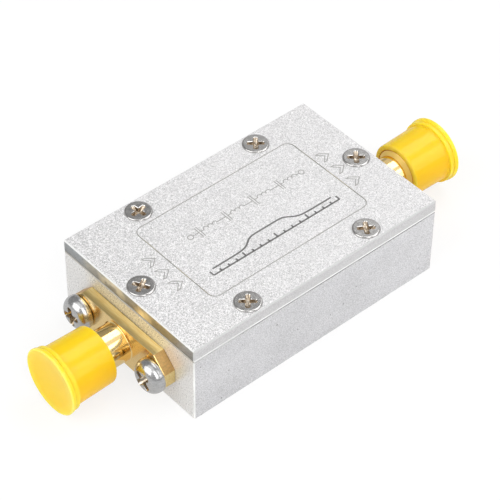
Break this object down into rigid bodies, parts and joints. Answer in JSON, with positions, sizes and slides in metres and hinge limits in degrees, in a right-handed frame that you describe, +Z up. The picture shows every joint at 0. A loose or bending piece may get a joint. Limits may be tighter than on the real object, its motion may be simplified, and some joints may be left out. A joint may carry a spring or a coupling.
{
  "type": "rf bandpass filter",
  "caption": "Coaxial bandpass filter in a milled aluminium case with flange jacks at both ends and push-on dust caps, for putting in line between radio cables.",
  "frame": {"origin": "centre of the case's bottom face", "axes": "+X from the input jack to the output jack along the case, +Y across it, +Z up from the bottom to the lid"},
  "size_m": [0.0647, 0.025, 0.0122],
  "materials": {
    "milled_aluminium": "fine matt milled, with a light grain",
    "blasted_aluminium": "bead-blasted, pale satin with a fine sparkle",
    "lid_screw_steel": "grey nickel plate",
    "gold_plate": "polished gold plate",
    "insulator": "waxy white PTFE",
    "contact_gold": "gold plate",
    "flange_screw_nickel": "bright nickel plate",
    "yellow_plastic": "glossy soft polyethylene",
    "laminate": "woven glass laminate with solder mask",
    "copper": "flat gold flash over copper",
    "board_screw_steel": "zinc plate",
    "silvered_ceramic": "fired silver on ceramic",
    "tab_metal": "tinned strip",
    "chip_ceramic": "tan ceramic with tinned ends",
    "solder": "bright solder"
  },
  "bodies": {
    "case": {"housing": "milled_aluminium", "lid": "blasted_aluminium", "lid_screws": "lid_screw_steel", "input_shell": "gold_plate", "output_shell": "gold_plate", "input_dielectric": "insulator", "output_dielectric": "insulator", "input_contact": "contact_gold", "output_contact": "contact_gold", "input_flange_screws": "flange_screw_nickel", "output_flange_screws": "flange_screw_nickel", "circuit_board": "laminate", "signal_traces": "copper", "ground_copper": "copper", "board_screws": "board_screw_steel", "resonator_1": "silvered_ceramic", "resonator_2": "silvered_ceramic", "resonator_3": "silvered_ceramic", "resonator_tab_1": "tab_metal", "resonator_tab_2": "tab_metal", "resonator_tab_3": "tab_metal", "coupling_capacitor_1": "chip_ceramic", "coupling_capacitor_2": "chip_ceramic", "coupling_capacitor_3": "chip_ceramic", "coupling_capacitor_4": "chip_ceramic", "input_solder": "solder", "output_solder": "solder"},
    "input_cap": {"input_dust_cap": "yellow_plastic"},
    "output_cap": {"output_dust_cap": "yellow_plastic"}
  },
  "joints": [
    {"name": "input_cap_pull", "type": "slide", "parent": "case", "child": "input_cap", "axis": [-1, 0, 0], "range_m": [0, 0.0095]},
    {"name": "output_cap_pull", "type": "slide", "parent": "case", "child": "output_cap", "axis": [1, 0, 0], "range_m": [0, 0.0095]}
  ]
}
